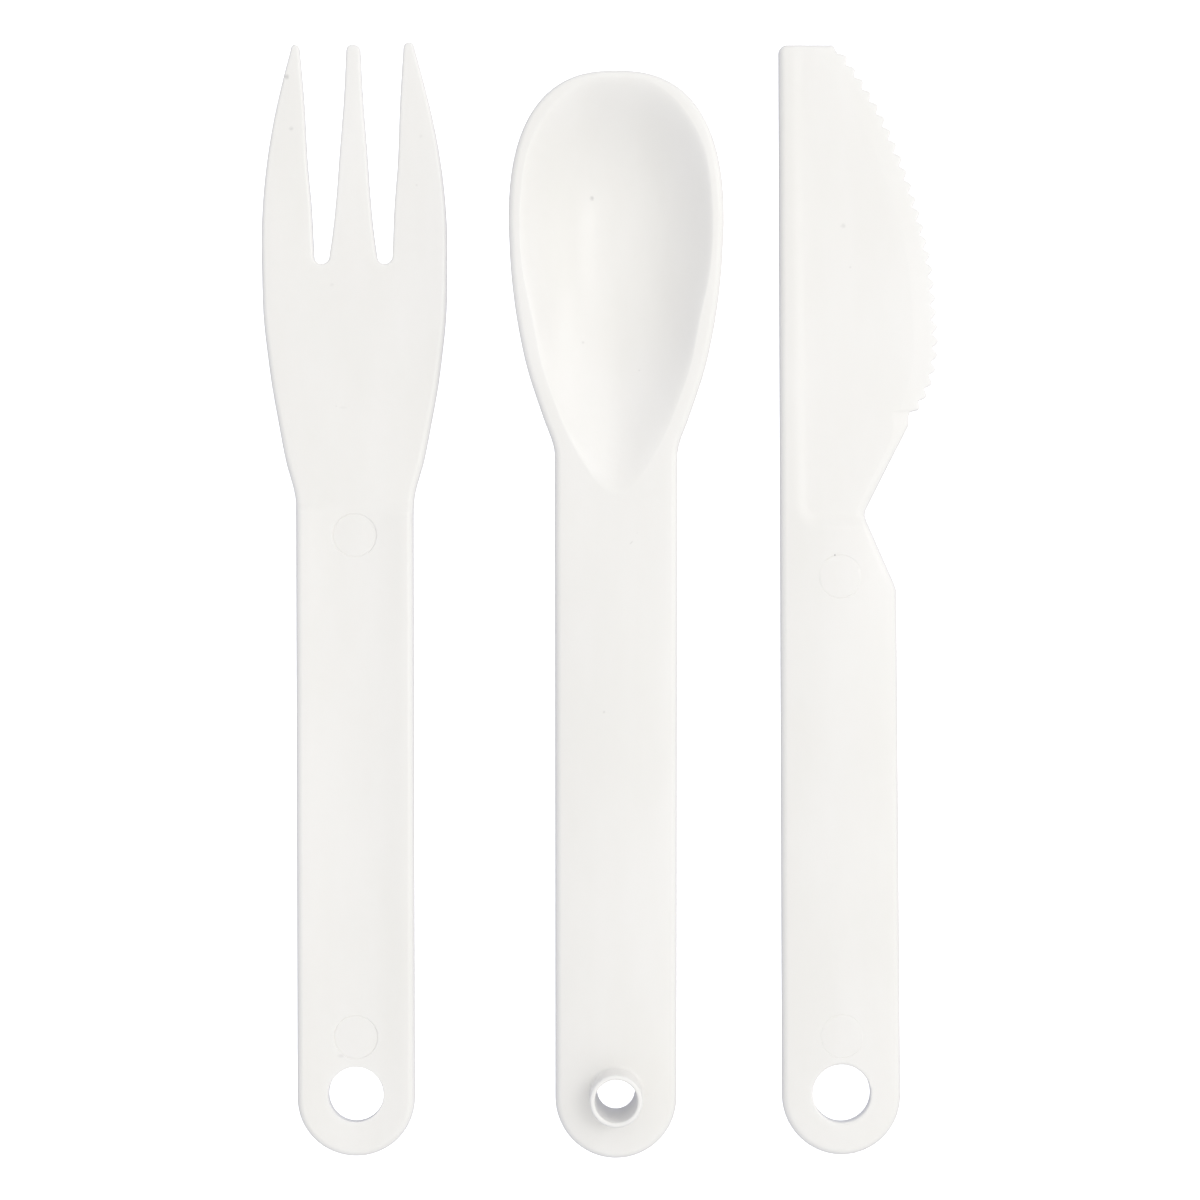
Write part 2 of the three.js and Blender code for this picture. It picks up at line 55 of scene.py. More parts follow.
fork_head_edge = [
    (92.5, 8.5), (94.8, 8.6), (100.6, 10.05), (106.1, 11.12), (111.3, 12.05), (115.9, 12.66),
    (121.1, 13.2), (127.3, 13.38), (134.4, 13.36), (143.4, 12.52), (149.6, 11.4), (154.7, 10.15),
    (159.1, 8.92),
]
fork_underside = [
    (-1, 0), (74.5, 0), (94.5, -0.1), (111.5, -0.9), (129, -0.35), (144.5, 0.75), (161, 2.6),
]
fork_head_thickness = [(94.5, 1.9), (123, 1.9), (141, 1.5), (161, 1.1)]
fork_belly_at = 111.5
fork_tines_from = 120
tine_end = 159.1
tip_length = 0.9
outer_tip_at = 8.22
outer_tip_half = 0.7
middle_tip_half = 0.93
slot_x = 4.72
slot_radius = 1.1
slot_floor = 128.87
slot_outer_side = [(7.52, 159.1), (7.02, 152.3), (6.58, 142.6), (6.17, 137.7)]
slot_inner_side = [(3.12, 133.3), (2.58, 138.2), (2, 145.1), (1.35, 152.3), (0.93, 159.1)]
right_slot_from = 131
right_slot_shift = -0.35
slot_tip_shift = 0.25
right_tine_rise = 0.3
slot_rounding = 0.45
fork_hole_at = 9
fork_hole_radius = 3.95
fork_ejector_marks = (17.3, 89.7)


def smooth(pairs, at):
    """Reads a smooth curve through the (place, value) pairs at one place or at many."""
    place, value = np.array(pairs, float).T
    slope = np.gradient(value, place)
    at = np.clip(at, place[0], place[-1])
    i = np.clip(np.searchsorted(place, at, side="right") - 1, 0, len(place) - 2)
    step = place[i + 1] - place[i]
    t = (at - place[i]) / step
    start = value[i] * (2 * t**3 - 3 * t**2 + 1) + slope[i] * step * (t**3 - 2 * t**2 + t)
    end = value[i + 1] * (3 * t**2 - 2 * t**3) + slope[i + 1] * step * (t**3 - t**2)
    return start + end


def fade(value, low, high):
    """Rises smoothly from 0 at low to 1 at high."""
    t = np.clip((value - low) / (high - low), 0, 1)
    return t * t * (3 - 2 * t)


def steps(start, *marks):
    """Even steps from the start to each (mark, longest step) in turn."""
    places = [start]
    for mark, longest in marks:
        low = places[-1]
        count = math.ceil((mark - low) / longest - 1e-6)
        places += [low + (mark - low) * (i + 1) / count for i in range(count)]
        places[-1] = mark
    return np.array(places)


def length_along(points):
    """How far along a line each of its points lies."""
    return np.concatenate([[0], np.cumsum(np.hypot(*np.diff(points, axis=0).T))])


def line_through(points, spacing):
    """A smooth line through the points, with a point about every spacing."""
    points = np.array(points, float)
    gone = length_along(points)
    at = np.linspace(0, gone[-1], max(2, round(gone[-1] / spacing) + 1))
    return np.column_stack([smooth(list(zip(gone, axis)), at) for axis in points.T])


def arc(centre, radius, start, end, count):
    """Points on a round or oval arc, with angles in degrees and a radius or a pair of them."""
    angles = np.radians(np.linspace(start, end, count))
    wide, tall = radius if isinstance(radius, tuple) else (radius, radius)
    return np.column_stack([centre[0] + wide * np.cos(angles), centre[1] + tall * np.sin(angles)])


def both_halves(right_half):
    """A closed outline from its right half, which runs from the handle's end to the front."""
    return np.vstack([right_half, right_half[-2:0:-1] * (-1, 1)])


def without_repeats(points):
    """The points of a closed outline, without those that lie on the one before."""
    keep = np.hypot(*(points - np.roll(points, 1, axis=0)).T) > 1e-3
    keep[0] = True
    return points[keep]


def fork_half_outline():
    """The right half of the fork's outline, round the outer tine, its slot and the middle tine."""
    rows = steps(fork_handle_half, (92, 0.8), (96, 0.2), (tine_end, 0.5))[1:]
    slot_centre = slot_floor + slot_radius
    return np.vstack([
        arc((0, fork_handle_half), fork_handle_half, -90, 0, 40),
        np.column_stack([smooth(fork_head_edge, rows), rows]),
        arc((outer_tip_at, tine_end), (outer_tip_half, tip_length), 0, 180, 15)[1:],
        line_through([*slot_outer_side, (slot_x + slot_radius, slot_centre)], 0.5)[1:],
        arc((slot_x, slot_centre), slot_radius, 0, -180, 25)[1:],
        line_through([(slot_x - slot_radius, slot_centre), *slot_inner_side], 0.5)[1:],
        arc((0, tine_end), (middle_tip_half, tip_length), 0, 90, 10)[1:],
    ])


def fork_top(x, y):
    """The height of the fork's upper face: the handle's trough, then the dished head."""
    across = x / (fork_handle_half - fork_trough_rim)
    handle = fork_handle_thickness - fork_trough_depth * np.maximum(0, 1 - across**2)
    head = smooth(fork_underside, y) + smooth(fork_head_thickness, y)
    return handle + (head - handle) * fade(y, fork_head_start - fork_step_length, fork_head_start)


def fork_bottom(x, y):
    """The height of the fork's underside, which bellies down under the head."""
    return smooth(fork_underside, y)


# The right slot's floor lies nearer to the middle than the left one's, the slot is narrower between
# the tips, and the right tine is the longest
outline = without_repeats(both_halves(fork_half_outline()))
x, y = outline.T
outer_tip_edge = outer_tip_at + outer_tip_half
by_middle_tine = (y > fork_tines_from) & (x > 0) & (x <= slot_x)
by_right_tine = (y > fork_tines_from) & (x > slot_x) & (x < outer_tip_edge)
slot_part = [right_slot_from, tine_end]
middle_shift = np.interp(y, slot_part, [right_slot_shift, slot_tip_shift])
middle_shift *= np.clip(x / middle_tip_half, 0, 1)
right_shift = np.interp(y, slot_part, [right_slot_shift, -slot_tip_shift])
right_shift *= np.clip((outer_tip_edge - x) / (2 * outer_tip_half), 0, 1)
outline += np.column_stack([
    middle_shift * by_middle_tine + right_shift * by_right_tine,
    right_tine_rise * fade(y, 150, 160) * (x > 6),
])

# How far in from the outline the rings of a rounded edge lie, as shares of its radius
edge_shares = np.array([0, 0.02, 0.07, 0.15, 0.27, 0.43, 0.63, 0.82, 1])
# The largest share of a thin edge's thickness that its rounding takes
rounded_share = 0.45


def inwards(outline):
    """The direction into the material at each point of an outline that runs anticlockwise."""
    along = np.roll(outline, -1, axis=0) - np.roll(outline, 1, axis=0)
    along /= np.hypot(*along.T)[:, None]
    return np.column_stack([-along[:, 1], along[:, 0]])


def rounded_edge(outline, radius, height=None):
    """The rings of a rounded edge, from the outline inwards, at their depth below the face."""
    radius = np.broadcast_to(radius, len(outline))
    height = radius if height is None else height
    into = inwards(outline)
    rings = []
    for share in edge_shares:
        place = outline + into * (radius * share)[:, None]
        fall = height * (1 - math.sqrt(1 - (1 - share) ** 2))
        rings.append(np.column_stack([place, -fall]))
    return rings


def grid_of(name, rows):
    """A grid with its vertices at the given rows of places."""
    bpy.ops.object.select_all(action="DESELECT")
    bpy.ops.mesh.primitive_grid_add(
        x_subdivisions=len(rows[0]) - 1, y_subdivisions=len(rows) - 1, size=1
    )
    piece = bpy.context.object
    piece.name = name
    piece.data.vertices.foreach_set("co", np.array(rows, float).reshape(-1))
    return piece


def weld(gap, facing_out=False):
    """Joins the active piece's vertices that lie within the gap, and may turn its faces outwards."""
    bpy.ops.object.mode_set(mode="EDIT")
    bpy.ops.mesh.select_all(action="SELECT")
    bpy.ops.mesh.remove_doubles(threshold=gap)
    if facing_out:
        bpy.ops.mesh.normals_make_consistent(inside=False)
    bpy.ops.object.mode_set(mode="OBJECT")


def wrapped(name, rings, facing_out=False):
    """A grid wrapped round: its rows are the rings, and its two ends meet."""
    piece = grid_of(name, [np.vstack([ring, ring[:1]]) for ring in rings])
    weld(1e-4, facing_out)
    return piece


def distance_to(loop, points):
    """How far each point lies from a closed line."""
    span = np.roll(loop, -1, axis=0) - loop
    length2 = np.maximum((span**2).sum(1), 1e-12)
    least = np.full(len(points), np.inf)
    for chunk in range(0, len(points), 2000):
        part = points[chunk:chunk + 2000, None, :] - loop[None]
        t = np.clip((part * span[None]).sum(2) / length2, 0, 1)
        gap = part - t[..., None] * span[None]
        least[chunk:chunk + 2000] = np.sqrt((gap**2).sum(2).min(1))
    return least


def inside(loop, points):
    """Whether each point lies inside a closed line."""
    x0, y0 = loop.T
    x1, y1 = np.roll(loop, -1, axis=0).T
    within = np.zeros(len(points), bool)
    for i in range(len(loop)):
        crosses = (y0[i] > points[:, 1]) != (y1[i] > points[:, 1])
        if crosses.any():
            share = (points[crosses, 1] - y0[i]) / (y1[i] - y0[i])
            within[crosses] ^= points[crosses, 0] < x0[i] + share * (x1[i] - x0[i])
    return within


def face_within(loop, holes, rows, columns, margin=0.35):
    """A grid of quads over the flat inside of a loop, kept clear of the loop and of its holes."""
    x, y = np.meshgrid(columns, rows)
    face = grid_of("face", np.dstack([x, y, 0 * x]))
    places = np.column_stack([x.reshape(-1), y.reshape(-1)])
    clear = inside(loop, places) & (distance_to(loop, places) > margin)
    for hole in holes:
        clear &= ~inside(hole, places) & (distance_to(hole, places) > margin)
    bpy.ops.object.mode_set(mode="EDIT")
    shape = bmesh.from_edit_mesh(face.data)
    for vertex in shape.verts:
        vertex.select_set(not clear[vertex.index])
    bmesh.update_edit_mesh(face.data)
    bpy.ops.mesh.delete(type="VERT")
    bpy.ops.mesh.select_all(action="SELECT")
    bpy.ops.mesh.delete_loose(use_faces=False)
    bpy.ops.object.mode_set(mode="OBJECT")
    return face


def joined(name, pieces):
    """The pieces joined into one object of that name."""
    bpy.ops.object.select_all(action="DESELECT")
    for piece in pieces:
        piece.select_set(True)
    bpy.context.view_layer.objects.active = pieces[0]
    bpy.ops.object.join()
    whole = bpy.context.object
    whole.name = name
    return whole


def fill_face(piece, left_open=lambda middle: False):
    """Fills the face between the open edges at height 0, apart from those that stay open."""
    bpy.ops.object.mode_set(mode="EDIT")
    bpy.ops.mesh.select_all(action="DESELECT")
    bpy.ops.mesh.select_mode(type="EDGE")
    shape = bmesh.from_edit_mesh(piece.data)
    for edge in shape.edges:
        level = all(abs(vertex.co.z) < 1e-6 for vertex in edge.verts)
        middle = (edge.verts[0].co + edge.verts[1].co) / 2
        edge.select_set(level and len(edge.link_faces) < 2 and not left_open(middle))
    bmesh.update_edit_mesh(piece.data)
    bpy.ops.mesh.fill(use_beauty=True)
    bpy.ops.mesh.select_mode(type="VERT")
    bpy.ops.mesh.select_all(action="SELECT")
    bpy.ops.mesh.normals_make_consistent(inside=False)
    bpy.ops.object.mode_set(mode="OBJECT")


def places_of(piece):
    """Where a piece's vertices lie, one row for each."""
    place = np.empty(len(piece.data.vertices) * 3)
    piece.data.vertices.foreach_get("co", place)
    return place.reshape(-1, 3)


def put_vertices(piece, place):
    """Moves a piece's vertices to their new places."""
    piece.data.vertices.foreach_set("co", place.reshape(-1))
    piece.data.update()


def thickened(piece, top, bottom):
    """Turns a flat sheet face up, gives it an underside and walls, and both faces their height."""
    if sum(polygon.normal.z * polygon.area for polygon in piece.data.polygons) < 0:
        piece.data.flip_normals()
    bpy.ops.object.mode_set(mode="EDIT")
    bpy.ops.mesh.select_all(action="SELECT")
    bpy.ops.mesh.extrude_region_move()
    bpy.ops.object.mode_set(mode="OBJECT")
    place = places_of(piece)
    upper = np.empty(len(place), bool)
    piece.data.vertices.foreach_get("select", upper)
    x, y, fall = place.T
    place[:, 2] = np.where(upper, top(x, y) + fall, bottom(x, y) - fall)
    put_vertices(piece, place)


edge_radius = np.interp(y, [95, 129, 150, 160], [1, 0.75, 0.5, 0.42])
in_slot = (np.abs(x) < 9) & (y > fork_tines_from)
edge_radius = np.where(in_slot, np.minimum(edge_radius, slot_rounding), edge_radius)
thickness = fork_top(x, y) - fork_bottom(x, y)
rings = rounded_edge(outline, edge_radius, np.minimum(edge_radius, rounded_share * thickness))
fork_edge = wrapped("fork_edge", rings)
fork_rows = steps(0, (92, 1), (95.4, 0.2), (161, 0.8))
fork_face = face_within(rings[-1][:, :2], [], fork_rows, np.linspace(-13.5, 13.5, 31))
fork = joined("fork_moulding", [fork_edge, fork_face])
fill_face(fork)
thickened(fork, fork_top, fork_bottom)

hole_lip = 0.35
ejector_radius = 3.12
ejector_depth = 0.02
groove_width = 0.06


def round_rings(profile, y, around=96):
    """Rings about the upright line at x = 0 and y, from (radius, height) pairs."""
    angles = np.radians(np.arange(around) * 360 / around)
    circle = np.column_stack([np.cos(angles), np.sin(angles)])
    return [np.column_stack([r * circle + (0, y), 0 * angles + z]) for r, z in profile]


def hole_cutter(radius, thickness, y):
    """What a round hole with rounded lips takes out of a flat plate of that thickness."""
    flare = np.radians([90, 75, 60, 45, 30, 15, 0])
    lips = [(radius + hole_lip * (1 - math.cos(a)), hole_lip * (1 - math.sin(a))) for a in flare]
    upper_lips = [(r, thickness - z) for r, z in reversed(lips)]
    widest = radius + hole_lip
    below = [(0, -1), (widest, -1)]
    above = [(widest, thickness + 1), (0, thickness + 1)]
    return wrapped("cutter", round_rings([*below, *lips, *upper_lips, *above], y), True)


def ejector_cutter(y, face):
    """The shallow round mark that an ejector pin leaves in a face, with a groove round its rim."""
    low, deep = face - ejector_depth, face - 3 * ejector_depth
    groove_start = ejector_radius - 2 * groove_width
    mark = [(0, low), (groove_start, low), (ejector_radius - groove_width, deep), (ejector_radius, deep)]
    above = [(ejector_radius + groove_width, face), (ejector_radius + 0.5, face + 0.5), (0, face + 0.5)]
    return wrapped("cutter", round_rings(mark + above, y), True)


def cut(piece, cutter):
    """Cuts one solid out of another, and puts the cutter away."""
    bpy.ops.object.select_all(action="DESELECT")
    piece.select_set(True)
    bpy.context.view_layer.objects.active = piece
    boolean = piece.modifiers.new("cut", "BOOLEAN")
    boolean.operation = "DIFFERENCE"
    boolean.solver = "EXACT"
    boolean.object = cutter
    bpy.ops.object.modifier_apply(modifier=boolean.name)
    bpy.data.objects.remove(cutter)


def lay(piece, node, turn, lowest_at=None):
    """Lays a finished utensil on the floor where its node lies, in metres. One that hangs below its
    handle tips up until its lowest place, lowest_at along it, and its handle's end both rest."""
    low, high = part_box(node)
    drop = -places_of(piece)[:, 2].min()
    tilt = math.atan2(drop, lowest_at - 1) if lowest_at else 0.0
    piece.data.transform(Matrix.Rotation(math.radians(turn), 4, "Z") @ Matrix.Rotation(tilt, 4, "X"))
    piece.data.transform(Matrix.Scale(0.001, 4))
    place = places_of(piece)
    least, most = place.min(0), place.max(0)
    piece.data.transform(Matrix.Translation((
        (low.x + high.x - least[0] - most[0]) / 2,
        low.y - least[1],
        low.z - least[2],
    )))
    bpy.ops.object.select_all(action="DESELECT")
    piece.select_set(True)
    bpy.context.view_layer.objects.active = piece
    bpy.ops.object.shade_smooth_by_angle(angle=math.radians(32))


cut(fork, hole_cutter(fork_hole_radius, fork_handle_thickness - fork_trough_depth / 2, fork_hole_at))
for mark_at in fork_ejector_marks:
    cut(fork, ejector_cutter(mark_at, fork_handle_thickness - fork_trough_depth))
lay(fork, "fork", 0.1, fork_belly_at)
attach(fork, "root")
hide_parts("fork")

# The plastic is dyed through, warm and semi-gloss, with a fine moulded skin, faint clouds where the
# melt flowed, and a few specks and scuffs. A speck has a place (x, y) and a radius in millimetres, a
# strength and a stretch.
grain_size = 0.00022
grain_height = 0.00002
cloud_size = 0.009
streak_size = cloud_size / 6
flow_stretch = (1, 0.3, 1)
dull_colour = (0.815, 0.803, 0.774)
pale_colour = (0.835, 0.823, 0.799)
dirt_colour = (0.16, 0.15, 0.15)
round_speck = (1, 1, 1)
fork_specks = [
    ((-44.84, 75.24), 0.5, 0.3, round_speck),
    ((-44.27, 67.94), 0.45, 0.16, round_speck),
    ((-25.69, 66.89), 0.35, 0.07, round_speck),
    ((-26.33, 59.95), 0.25, 0.1, round_speck),
    ((-38.56, 45.69), 0.4, 0.06, round_speck),
    ((-37.97, 28.24), 0.15, 0.15, round_speck),
    ((-36.96, 28.03), 0.5, 0.05, (1.6, 0.5, 1)),
    ((-37.29, -65.49), 0.5, 0.1, (1.4, 0.8, 1)),
]


def shader_group(name, inputs, outputs):
    """An empty shader group with the named sockets, and its input and output nodes."""
    group = bpy.data.node_groups.new(name, "ShaderNodeTree")
    for socket, kind, value in inputs:
        made = group.interface.new_socket(socket, in_out="INPUT", socket_type=kind)
        if value is not None:
            made.default_value = value
    for socket, kind in outputs:
        group.interface.new_socket(socket, in_out="OUTPUT", socket_type=kind)
    return group, group.nodes.new("NodeGroupInput"), group.nodes.new("NodeGroupOutput")


def vector_math(tree, operation, first, second=None):
    """A vector sum of a socket with a socket or with fixed numbers."""
    node = tree.nodes.new("ShaderNodeVectorMath")
    node.operation = operation
    tree.links.new(first, node.inputs[0])
    if isinstance(second, tuple):
        node.inputs[1].default_value = second
    elif second is not None:
        tree.links.new(second, node.inputs[1])
    return node


def number_math(tree, operation, first, second):
    """A sum of a socket with a socket or with a fixed number."""
    node = tree.nodes.new("ShaderNodeMath")
    node.operation = operation
    tree.links.new(first, node.inputs[0])
    if isinstance(second, float):
        node.inputs[1].default_value = second
    else:
        tree.links.new(second, node.inputs[1])
    return node.outputs[0]


def noise(tree, vector, size, detail):
    """Soft noise with lumps of about the given size in metres."""
    node = tree.nodes.new("ShaderNodeTexNoise")
    node.inputs["Scale"].default_value = 1 / size
    node.inputs["Detail"].default_value = detail
    tree.links.new(vector, node.inputs["Vector"])
    return node.outputs["Fac"]


def mapped(tree, value, low, high, to_low, to_high):
    """A value carried from one range to another, and held at its ends."""
    node = tree.nodes.new("ShaderNodeMapRange")
    for socket, number in zip(("From Min", "From Max", "To Min", "To Max"), (low, high, to_low, to_high)):
        node.inputs[socket].default_value = number
    tree.links.new(value, node.inputs["Value"])
    return node.outputs["Result"]


def mixed(tree, share, first, second):
    """Two colours mixed by a share, where each is a colour or a socket."""
    node = tree.nodes.new("ShaderNodeMix")
    node.data_type = "RGBA"
    for socket, colour in (("A", first), ("B", second)):
        inlet = next(i for i in node.inputs if i.name == socket and i.type == "RGBA")
        if isinstance(colour, tuple):
            inlet.default_value = (*colour, 1)
        else:
            tree.links.new(colour, inlet)
    tree.links.new(share, node.inputs["Factor"])
    return next(o for o in node.outputs if o.type == "RGBA")


skin, skin_in, skin_out = shader_group(
    "moulded_skin",
    [("Position", "NodeSocketVector", None), ("Cloud Shift", "NodeSocketVector", (0, 0, 0))],
    [("Colour", "NodeSocketColor"), ("Roughness", "NodeSocketFloat"), ("Height", "NodeSocketFloat")],
)
moved = vector_math(skin, "ADD", skin_in.outputs["Position"], skin_in.outputs["Cloud Shift"]).outputs[0]
drawn_out = vector_math(skin, "MULTIPLY", moved, flow_stretch).outputs[0]
clouds = mapped(skin, noise(skin, drawn_out, cloud_size, 3), 0.35, 0.65, 0, 1)
gloss = mapped(skin, noise(skin, drawn_out, streak_size, 3), 0.3, 0.7, 0.33, 0.41)
skin.links.new(mixed(skin, clouds, dull_colour, pale_colour), skin_out.inputs["Colour"])
skin.links.new(gloss, skin_out.inputs["Roughness"])
skin.links.new(noise(skin, moved, grain_size, 2), skin_out.inputs["Height"])

speck, speck_in, speck_out = shader_group(
    "speck",
    [("Position", "NodeSocketVector", None), ("Centre", "NodeSocketVector", (0, 0, 0)),
     ("Stretch", "NodeSocketVector", (1, 1, 1)), ("Radius", "NodeSocketFloat", 0.0003),
     ("Strength", "NodeSocketFloat", 0.2), ("Before", "NodeSocketFloat", 0.0)],
    [("Mask", "NodeSocketFloat")],
)
apart = vector_math(speck, "SUBTRACT", speck_in.outputs["Position"], speck_in.outputs["Centre"])
squeezed = vector_math(speck, "DIVIDE", apart.outputs[0], speck_in.outputs["Stretch"])
away = vector_math(speck, "LENGTH", squeezed.outputs[0]).outputs["Value"]
near_share = number_math(speck, "DIVIDE", away, speck_in.outputs["Radius"])
wobble = number_math(speck, "MULTIPLY", noise(speck, speck_in.outputs["Position"], 0.00025, 2), 0.6)
ragged = mapped(speck, number_math(speck, "ADD", near_share, wobble), 0.55, 1.2, 1, 0)
dot = number_math(speck, "MULTIPLY", ragged, speck_in.outputs["Strength"])
marked = number_math(speck, "MAXIMUM", dot, speck_in.outputs["Before"])
speck.links.new(marked, speck_out.inputs["Mask"])


def plastic_with(name, piece, cloud_shift, specks):
    """Gives a utensil the white plastic with its own specks, each under its place in millimetres."""
    plastic = bpy.data.materials.new(name)
    plastic.use_nodes = True
    tree = plastic.node_tree
    shader = tree.nodes["Principled BSDF"]
    shader.inputs["IOR"].default_value = 1.49
    shader.inputs["Subsurface Weight"].default_value = 0.35
    shader.inputs["Subsurface Radius"].default_value = (1, 1, 1)
    shader.inputs["Subsurface Scale"].default_value = 0.0012
    position = tree.nodes.new("ShaderNodeTexCoord").outputs["Object"]
    surface = tree.nodes.new("ShaderNodeGroup")
    surface.node_tree = skin
    surface.inputs["Cloud Shift"].default_value = cloud_shift
    tree.links.new(position, surface.inputs["Position"])
    mask = None
    for (x, y), radius, strength, stretch in specks:
        _, place, _, _ = piece.ray_cast(Vector((x / 1000, y / 1000, 0.05)), Vector((0, 0, -1)))
        mark = tree.nodes.new("ShaderNodeGroup")
        mark.node_tree = speck
        mark.inputs["Centre"].default_value = place
        mark.inputs["Stretch"].default_value = stretch
        mark.inputs["Radius"].default_value = radius / 1000
        mark.inputs["Strength"].default_value = strength
        tree.links.new(position, mark.inputs["Position"])
        if mask is not None:
            tree.links.new(mask, mark.inputs["Before"])
        mask = mark.outputs["Mask"]
    colour = mixed(tree, mask, surface.outputs["Colour"], dirt_colour)
    tree.links.new(colour, shader.inputs["Base Color"])
    tree.links.new(surface.outputs["Roughness"], shader.inputs["Roughness"])
    bump = tree.nodes.new("ShaderNodeBump")
    bump.inputs["Strength"].default_value = 0.25
    bump.inputs["Distance"].default_value = grain_height
    tree.links.new(surface.outputs["Height"], bump.inputs["Height"])
    tree.links.new(bump.outputs["Normal"], shader.inputs["Normal"])
    piece.data.materials.clear()
    piece.data.materials.append(plastic)


plastic_with("white_plastic_fork", fork, (0, 0, 0), fork_specks)

# The spoon: one moulding of the same plastic, with a deep oval bowl, a level rim and a slightly
# crowned handle. A hollow round peg stands near the handle's end, and the holes of the fork and the
# knife go over it.
spoon_half = 8.76
spoon_thickness = 2.8
spoon_crown = 0.45
spoon_neck_at = 101.1
bowl_centre = np.array([0, 133.9])
bowl_depth = 7.1
belly_depth = 8.6
belly_blend = 1.2
rim_radius = 0.9
handle_rounding = 1
belly_edge_height = 1.85
bowl_flow = (96, 106)
lip_width = 0.45
lip_width_at_front = 0.25
dip_squareness = 2.8
dip_softness = 1.5
sag_squareness = 2.6
sag_fullness = 0.6
bowl_half = 15.3
bowl_widest_at = 133.8
bowl_front_length = 21.7
bowl_front_power = 0.8
bowl_side = [
    (8.76, 101.1), (8.84, 101.9), (9.2, 103.3), (10.15, 105.8), (11.05, 108.4), (12.6, 113.2),
    (13.75, 118.3), (14.97, 127.4), (15.3, 133.8),
]
hollow_outline = [
    (0, 95.6), (2.38, 97.4), (4.23, 100.05), (6.61, 104.3), (8.5, 109), (10.15, 113.8), (11.47, 120.6),
    (12.82, 126.9), (13.32, 134.3), (13.05, 139.1), (12.2, 144.1), (10.25, 148.5), (7.32, 152.1),
    (4.8, 153.75), (0, 154.3),
]
belly_outline = [
    (0, 91.6), (3.75, 94.1), (6.55, 98.4), (8.65, 102.4), (10.77, 108.1), (12.48, 113.2), (13.7, 118.3),
    (14.97, 127.4), (15.3, 133.8), (14.94, 140.8), (14.17, 144.8), (13.05, 147.5), (10.63, 151.5),
    (7.43, 153.9), (3.66, 155.25), (0, 155.5),
]
peg_at = 9.5
peg_radius = 3.75
peg_height = 4.7
peg_fillet = 0.5
peg_lip = 0.3
bore_top = 3.05
bore_bottom = 2.7
spoon_specks = [
    ((-1.08, 58.14), 0.45, 0.24, round_speck),
    ((-2.38, 37.23), 0.3, 0.14, round_speck),
    ((5.67, 33.2), 0.22, 0.12, round_speck),
    ((4.41, 8.3), 0.14, 0.16, round_speck),
    ((4.53, 8.44), 0.14, 0.2, round_speck),
    ((4.65, 8.58), 0.13, 0.16, round_speck),
    ((5.34, 9.8), 0.14, 0.1, round_speck),
    ((0.63, -15.73), 0.28, 0.15, round_speck),
]


def closed_line(right_half, spacing, softness):
    """A closed line through a right half and its mirror image, softened over a length."""
    around = both_halves(np.array(right_half, float))
    around = np.vstack([around[-3:], around, around[:4]])
    gone = length_along(around)
    start, end = gone[3], gone[-4]
    at = np.linspace(start, end, 2 * round((end - start) / spacing / 2) + 1)[:-1]
    line = np.column_stack([smooth(list(zip(gone, axis)), at) for axis in around.T])
    reach = math.ceil(3 * softness / spacing)
    shifts = range(-reach, reach + 1)
    weights = [math.exp(-0.5 * (shift * spacing / softness) ** 2) for shift in shifts]
    return sum(w * np.roll(line, k, axis=0) for k, w in zip(shifts, weights)) / sum(weights)


def rounder(loop, share):
    """A loop about the bowl's middle, drawn in to a share of its size and made rounder on the way."""
    away = loop - bowl_centre
    reach = np.hypot(*away.T)
    angle = np.unwrap(np.arctan2(away[:, 1], away[:, 0]))
    every = np.linspace(angle[0], angle[0] + 2 * math.pi, 361)[:-1]
    even = np.interp(every, angle, reach, period=2 * math.pi)
    turn = np.minimum(np.arange(360), 360 - np.arange(360))
    blur = np.exp(-0.5 * (turn / 22) ** 2)
    soft = np.fft.ifft(np.fft.fft(even) * np.fft.fft(blur / blur.sum())).real
    soft = np.interp(angle, every, soft, period=2 * math.pi)
    scale = share * (1 + (soft / reach - 1) * (1 - share**2))
    return bowl_centre + away * scale[:, None]


def spoon_top(x, y):
    """The height of the spoon's upper face: a crowned handle that flattens towards the bowl."""
    return spoon_thickness - spoon_crown * (1 - fade(y, 72, 92)) * (x / spoon_half) ** 2


# The upper half: the rim, the hollow of the bowl, the peg with its bore, and the face between them
quadrant = np.radians(np.linspace(0, 90, 61))
bowl_front = np.column_stack([
    bowl_half * np.cos(quadrant) ** bowl_front_power,
    bowl_widest_at + bowl_front_length * np.sin(quadrant) ** bowl_front_power,
])
handle_rows = np.linspace(spoon_half, spoon_neck_at, 115)[1:]
outline = without_repeats(both_halves(np.vstack([
    arc((0, spoon_half), spoon_half, -90, 0, 40),
    np.column_stack([0 * handle_rows + spoon_half, handle_rows]),
    line_through(bowl_side, 0.5)[1:],
    bowl_front[1:],
])))
outline_x, outline_y = outline.T
edge_radius = handle_rounding + (rim_radius - handle_rounding) * fade(outline_y, 96, 108)
edge_radius -= 0.2 * fade(outline_y, 142, 150)
rim_rings = rounded_edge(outline, edge_radius)

hollow = closed_line(hollow_outline, 0.5, 1.2)
lip = lip_width + (lip_width_at_front - lip_width) * fade(hollow[:, 1], 144, 153)
hollow -= inwards(hollow) * lip[:, None]
hollow_rings = []
for share in np.cos(np.radians(np.linspace(0, 90, 34))):
    place = rounder(hollow, share)
    dip = bowl_depth * (1 - share**dip_squareness) ** dip_softness
    hollow_rings.append(np.column_stack([place, 0 * place[:, 0] - dip]))
hollow_rings[-1][:, :2] = bowl_centre

